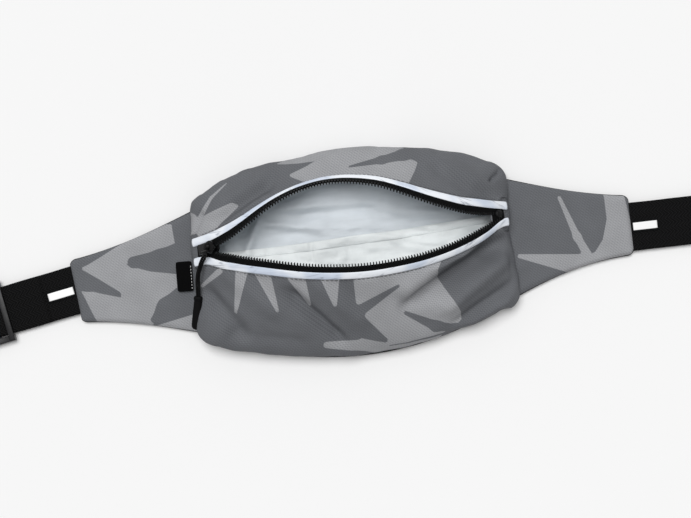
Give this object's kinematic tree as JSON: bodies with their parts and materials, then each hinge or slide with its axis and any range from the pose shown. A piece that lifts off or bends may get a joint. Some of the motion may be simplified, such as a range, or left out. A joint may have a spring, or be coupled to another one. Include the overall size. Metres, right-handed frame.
{
  "type": "waist pack",
  "caption": "Open zipped waist pack on a padded belt with two hip wings, reflective piping, an adjustable webbing strap and a side-release buckle.",
  "frame": {"origin": "middle of the back panel's flat outer face, the side that rests on the wearer or on a table", "axes": "+X along the belt towards the plug half of the buckle, +Y towards the pouch's top edge, +Z out of the front of the pouch"},
  "size_m": [0.826, 0.1611, 0.0675],
  "materials": {
    "printed_fabric": "matt woven, two-grey print",
    "plain_fabric": "matt woven",
    "mesh_pad": "black spacer mesh",
    "lining": "light satin",
    "zip_tape": "fine woven tape",
    "zip_teeth": "moulded, satin",
    "slider_metal": "black enamel",
    "piping": "retroreflective, slightly crinkled",
    "reflector": "retroreflective",
    "pull_cord": "braided",
    "grip": "matt moulded",
    "label": "woven label",
    "webbing": "herringbone webbing",
    "tab_tape": "woven tape",
    "buckle": "moulded acetal"
  },
  "bodies": {
    "pack": {"back_panel": "mesh_pad", "front_panel": "printed_fabric", "top_panel": "printed_fabric", "left_end_patch": "plain_fabric", "right_end_patch": "plain_fabric", "back_lining": "lining", "front_lining": "lining", "top_lining": "lining", "inner_pocket": "lining", "pocket_hem": "lining", "left_zip_stop": "zip_teeth", "right_zip_stop": "zip_teeth"},
    "upper_lip": {"upper_zip_tape": "zip_tape", "upper_zip_teeth": "zip_teeth", "upper_piping": "piping"},
    "lower_lip": {"lower_zip_tape": "zip_tape", "lower_zip_teeth": "zip_teeth", "lower_piping": "piping"},
    "slider": {"zip_slider": "slider_metal", "slider_cap": "slider_metal"},
    "puller": {"pull_bail": "slider_metal", "pull_cord": "pull_cord", "pull_grip": "grip"},
    "left_hip_wing": {"left_wing_cover": "printed_fabric", "left_wing_pad": "mesh_pad", "left_web_anchor": "webbing", "side_label": "label"},
    "right_hip_wing": {"right_wing_cover": "printed_fabric", "right_wing_pad": "mesh_pad", "right_web_anchor": "webbing"},
    "left_belt": {"left_strap": "webbing", "left_strap_tape": "tab_tape", "left_strap_reflector": "reflector"},
    "loop_end": {"loop_strap": "webbing"},
    "adjuster": {"strap_adjuster": "buckle"},
    "socket": {"buckle_socket": "buckle"},
    "right_belt": {"right_strap": "webbing", "right_strap_tape": "tab_tape", "right_strap_reflector": "reflector"},
    "plug": {"buckle_plug": "buckle"},
    "front_prong_arm": {"front_prong": "buckle"},
    "rear_prong_arm": {"rear_prong": "buckle"}
  },
  "joints": [
    {"name": "slider_travel", "type": "hinge", "parent": "pack", "child": "slider", "pos_m": [0, -0.00482, -0.1004], "axis": [0, 0.9863, -0.165], "range_deg": [0, 76]},
    {"name": "upper_lip_turn", "type": "hinge", "parent": "pack", "child": "upper_lip", "pos_m": [0, 0.017, 0.03], "axis": [1, 0, 0], "range_deg": [0, 43.5]},
    {"name": "lower_lip_turn", "type": "hinge", "parent": "pack", "child": "lower_lip", "pos_m": [0, 0.017, 0.03], "axis": [-1, 0, 0], "range_deg": [0, 43.5]},
    {"name": "puller_swing", "type": "hinge", "parent": "slider", "child": "puller", "pos_m": [-0.11237, 0.01556, 0.04201], "axis": [-0.788, -0.1016, -0.6072], "range_deg": [0, 110]},
    {"name": "left_wing_fold", "type": "hinge", "parent": "pack", "child": "left_hip_wing", "pos_m": [-0.124, 0, 0], "axis": [0, -1, 0], "range_deg": [0, 70]},
    {"name": "right_wing_fold", "type": "hinge", "parent": "pack", "child": "right_hip_wing", "pos_m": [0.124, 0, 0], "axis": [0, 1, 0], "range_deg": [0, 70]},
    {"name": "left_belt_bend", "type": "hinge", "parent": "left_hip_wing", "child": "left_belt", "pos_m": [-0.22455, -0.00263, 0.0048], "axis": [0.1736, -0.9848, 0], "range_deg": [-45, 60]},
    {"name": "right_belt_bend", "type": "hinge", "parent": "right_hip_wing", "child": "right_belt", "pos_m": [0.2218, -0.002, 0.0048], "axis": [0, 1, 0], "range_deg": [-45, 60]},
    {"name": "belt_length", "type": "slide", "parent": "left_belt", "child": "loop_end", "axis": [-0.9848, -0.1736, 0], "range_m": [0, 0.06]},
    {"name": "adjuster_slide", "type": "slide", "parent": "loop_end", "child": "adjuster", "axis": [-0.9848, -0.1736, 0], "range_m": [0, 0.06]},
    {"name": "socket_swivel", "type": "hinge", "parent": "loop_end", "child": "socket", "pos_m": [-0.43569, -0.03986, 0.00275], "axis": [-0.1736, 0.9848, 0], "range_deg": [-30, 45]},
    {"name": "plug_swivel", "type": "hinge", "parent": "right_belt", "child": "plug", "pos_m": [0.295, -0.002, 0.00275], "axis": [0, -1, 0], "range_deg": [-30, 45]},
    {"name": "front_prong_squeeze", "type": "hinge", "parent": "plug", "child": "front_prong_arm", "pos_m": [0.31, -0.0125, 0.0055], "axis": [0, 0, 1], "range_deg": [0, 8], "stiffness_Nm_per_rad": 0.5},
    {"name": "rear_prong_squeeze", "type": "hinge", "parent": "plug", "child": "rear_prong_arm", "pos_m": [0.31, 0.0085, 0.0055], "axis": [0, 0, -1], "range_deg": [0, 8], "stiffness_Nm_per_rad": 0.5}
  ],
  "couplings": [
    {"joint": "upper_lip_turn", "follows": "slider_travel", "ratio": 0.57236},
    {"joint": "lower_lip_turn", "follows": "slider_travel", "ratio": 0.57236},
    {"joint": "adjuster_slide", "follows": "belt_length", "ratio": 1},
    {"joint": "rear_prong_squeeze", "follows": "front_prong_squeeze", "ratio": 1}
  ]
}
